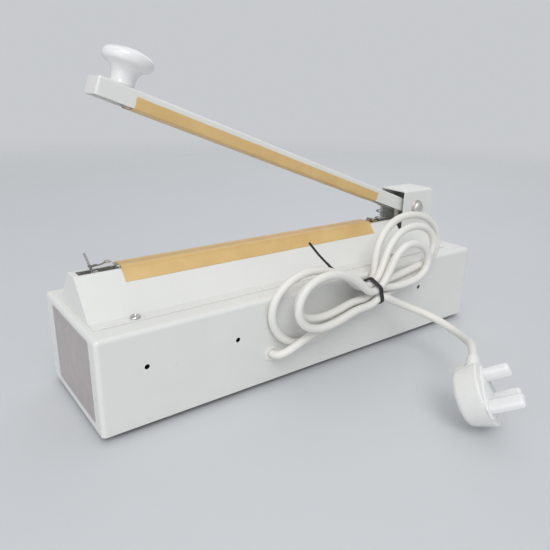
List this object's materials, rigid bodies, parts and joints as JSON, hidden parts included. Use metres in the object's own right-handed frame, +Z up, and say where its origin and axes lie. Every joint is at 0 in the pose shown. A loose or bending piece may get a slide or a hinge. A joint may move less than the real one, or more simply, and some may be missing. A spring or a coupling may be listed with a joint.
{
  "type": "hand impulse sealer",
  "caption": "Tabletop hand impulse sealer with a hinged pressing arm, a heated lower jaw, a timer knob and a coiled mains cord.",
  "frame": {"origin": "under the middle of the bounding box of the machine without its cord, at the feet's underside", "axes": "+X along the base towards the knob end, +Y towards the side the cord leaves, +Z up"},
  "size_m": [0.4, 0.3011, 0.2599],
  "materials": {
    "white_paint": "satin powder coat",
    "zinc_plate": "zinc plated",
    "bright_steel": "bright",
    "spring_steel": "oiled",
    "ribbon_alloy": "heat stained",
    "tan_tape": "coated glass cloth",
    "insulation": "glass cloth",
    "aluminium_bar": "extruded",
    "silicone": "matt",
    "black_rubber": "matt",
    "white_plastic": "smooth",
    "nylon": "natural",
    "black_plastic": "moulded",
    "core_steel": "stacked sheets",
    "varnished_copper": "enamelled wire under tape",
    "board_green": "laminate",
    "amber_lens": "clear",
    "cord_white": "flexible sheath",
    "brass": "bright"
  },
  "bodies": {
    "base": {"base_housing": "white_paint", "bottom_plate": "zinc_plate", "rubber_feet": "black_rubber", "base_screws": "zinc_plate", "deck_cover": "white_paint", "deck_screws": "bright_steel", "jaw_channel": "zinc_plate", "channel_posts": "zinc_plate", "jaw_bar": "aluminium_bar", "insulation_strip": "insulation", "heating_element": "ribbon_alloy", "element_crimp": "brass", "lower_tape": "tan_tape", "tension_spring": "spring_steel", "tension_pin": "bright_steel", "rear_post": "brass", "rear_post_screw": "bright_steel", "hinge_bracket": "white_paint", "bracket_screws": "bright_steel", "pivot_bolt": "bright_steel", "pivot_washers": "bright_steel", "pivot_nut": "bright_steel", "pivot_spacers": "nylon", "return_spring": "spring_steel", "rod_guide": "nylon", "switch_body": "black_plastic", "switch_plate": "zinc_plate", "switch_screws": "bright_steel", "transformer_core": "core_steel", "transformer_bobbin": "nylon", "transformer_winding": "varnished_copper", "transformer_strap": "zinc_plate", "strap_screws": "bright_steel", "timer_control": "black_plastic", "timer_nut": "bright_steel", "circuit_board": "board_green", "board_parts": "black_plastic", "lamp_bezel": "black_plastic", "lamp_lens": "amber_lens", "terminal_block": "nylon", "earth_stud": "brass", "cord_grommet": "black_rubber", "cord_hank": "cord_white", "cord_tie": "black_plastic", "plug_body": "white_plastic", "plug_pins": "brass", "plug_pin_cover": "white_plastic", "cord_exit": "cord_white", "cord_lead": "cord_white"},
    "arm": {"arm_channel": "white_paint", "pivot_bush": "nylon", "pad_carrier": "zinc_plate", "silicone_pad": "silicone", "upper_tape": "tan_tape", "arm_knob": "white_plastic", "knob_screw": "bright_steel"},
    "switch_rod": {"push_rod": "nylon"},
    "switch_leaf": {"switch_lever": "bright_steel"},
    "timer": {"timer_knob": "black_plastic", "timer_shaft": "bright_steel"}
  },
  "joints": [
    {"name": "arm_hinge", "type": "hinge", "parent": "base", "child": "arm", "pos_m": [-0.156, 0.009, 0.1188], "axis": [0, 1, 0], "range_deg": [0, 20.1], "stiffness_Nm_per_rad": 1.5, "springref_deg": -40.11, "deforming": ["return_spring"]},
    {"name": "switch_rod_slide", "type": "slide", "parent": "base", "child": "switch_rod", "axis": [0, 0, -1], "range_m": [0, 0.0041]},
    {"name": "switch_leaf_hinge", "type": "hinge", "parent": "base", "child": "switch_leaf", "pos_m": [-0.15561, 0.009, 0.0596], "axis": [0, 1, 0], "range_deg": [0, 20.1]},
    {"name": "timer_turn", "type": "hinge", "parent": "base", "child": "timer", "pos_m": [-0.13, -0.05, 0.041], "axis": [0, 1, 0], "range_deg": [0, 270]}
  ],
  "couplings": [
    {"joint": "switch_rod_slide", "follows": "arm_hinge", "m_per_rad": 0.011586},
    {"joint": "switch_leaf_hinge", "follows": "arm_hinge", "ratio": 1}
  ]
}
